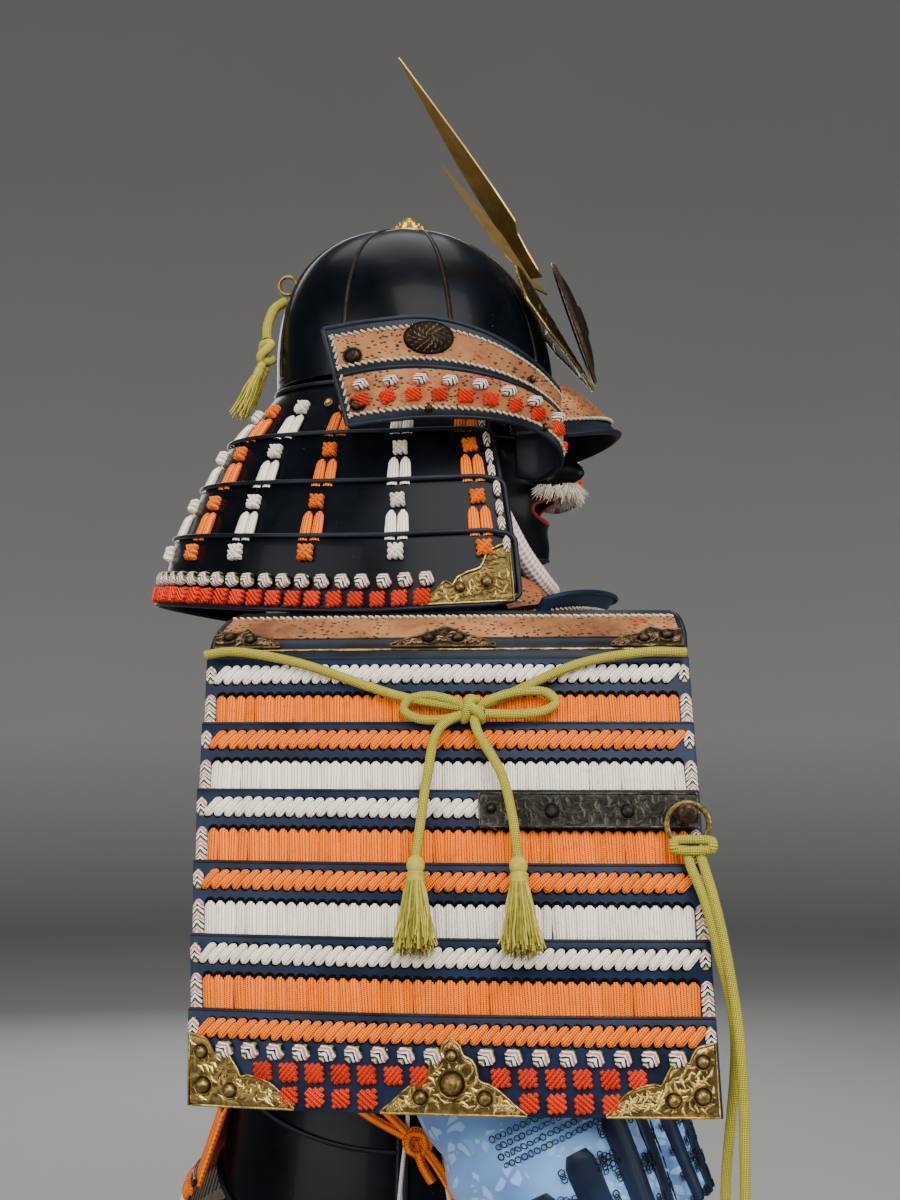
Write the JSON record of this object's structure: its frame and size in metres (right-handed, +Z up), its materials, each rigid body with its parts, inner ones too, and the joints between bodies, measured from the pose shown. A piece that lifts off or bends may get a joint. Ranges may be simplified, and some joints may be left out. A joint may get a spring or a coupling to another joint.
{
  "type": "samurai armour with its helmet, mask, shoulder boards and sleeves, in its worn pose",
  "caption": "Laced samurai armour, hollow as worn: horned helmet with flared neck guard, mask, cuirass, skirt panels, laced shoulder boards with tasselled cords and armoured sleeves.",
  "frame": {"origin": "between the shoulders, just under the shoulder straps, where the wearer holds the suit up", "axes": "+Z up along the wearer's spine, -Y the way the suit faces, +X to the wearer's left"},
  "size_m": [0.6961, 0.5379, 1.2528],
  "materials": {
    "black_lacquer": "glossy black urushi lacquer over iron plate",
    "blue_lacquer": "satin blue-black lacquer over leather and iron scales",
    "aged_bronze": "dark patinated bronze, rubbed brighter on its high spots",
    "brass": "aged chased brass",
    "gilt": "worn gilt copper",
    "printed_leather": "stencilled tan leather with a small dark leaf pattern",
    "orange_silk": "flat braided silk lacing",
    "white_silk": "flat braided silk lacing, slightly soiled",
    "red_silk": "flat braided silk lacing",
    "mixed_silk": "braid of white, pink, green and navy silk",
    "olive_cord": "round braided silk cord",
    "pink_cord": "padded soft cotton cord",
    "hair": "cream animal hair",
    "blue_brocade": "blue silk brocade"
  },
  "bodies": {
    "root": {"helmet_bowl": "black_lacquer", "bowl_ribs": "aged_bronze", "crown_ornament": "gilt", "visor": "printed_leather", "neckguard_1": "black_lacquer", "neckguard_2": "black_lacquer", "neckguard_3": "black_lacquer", "neckguard_4": "black_lacquer", "turnback_right": "printed_leather", "turnback_left": "printed_leather", "horn_right": "gilt", "horn_left": "gilt", "horn_base": "brass", "crest_disc": "aged_bronze", "rear_ring": "brass", "rear_cord": "olive_cord", "rear_tassels": "olive_cord", "face_mask": "black_lacquer", "moustache": "hair", "chin_cord": "pink_cord", "cuirass_back": "black_lacquer", "cuirass_front": "black_lacquer", "chest_plate": "blue_lacquer", "back_plate": "blue_lacquer", "shoulder_strap_right": "printed_leather", "shoulder_strap_left": "printed_leather", "bow_cord": "olive_cord", "bow_tassel_rear": "olive_cord", "bow_tassel_front": "olive_cord", "ring_cord": "olive_cord", "closing_cord": "orange_silk", "sleeve_right": "blue_brocade", "sleeve_left": "blue_brocade", "forearm_guard_right": "black_lacquer", "forearm_guard_left": "black_lacquer", "kogai_plate_right": "aged_bronze", "kogai_plate_left": "aged_bronze", "sode_ring_right": "brass", "sode_ring_left": "brass", "crown_plate_right": "printed_leather", "crown_plate_left": "printed_leather", "tasset_1": "blue_lacquer", "tasset_2": "blue_lacquer", "tasset_3": "blue_lacquer", "tasset_4": "blue_lacquer", "tasset_5": "blue_lacquer", "tasset_6": "blue_lacquer", "tasset_7": "blue_lacquer", "sode_lame_1_right": "blue_lacquer", "sode_lame_1_left": "blue_lacquer", "sode_lame_2_right": "blue_lacquer", "sode_lame_2_left": "blue_lacquer", "sode_lame_3_right": "blue_lacquer", "sode_lame_3_left": "blue_lacquer", "sode_lame_4_right": "blue_lacquer", "sode_lame_4_left": "blue_lacquer", "sode_lame_5_right": "blue_lacquer", "sode_lame_5_left": "blue_lacquer", "sode_lame_6_right": "blue_lacquer", "sode_lame_6_left": "blue_lacquer"}
  },
  "joints": []
}
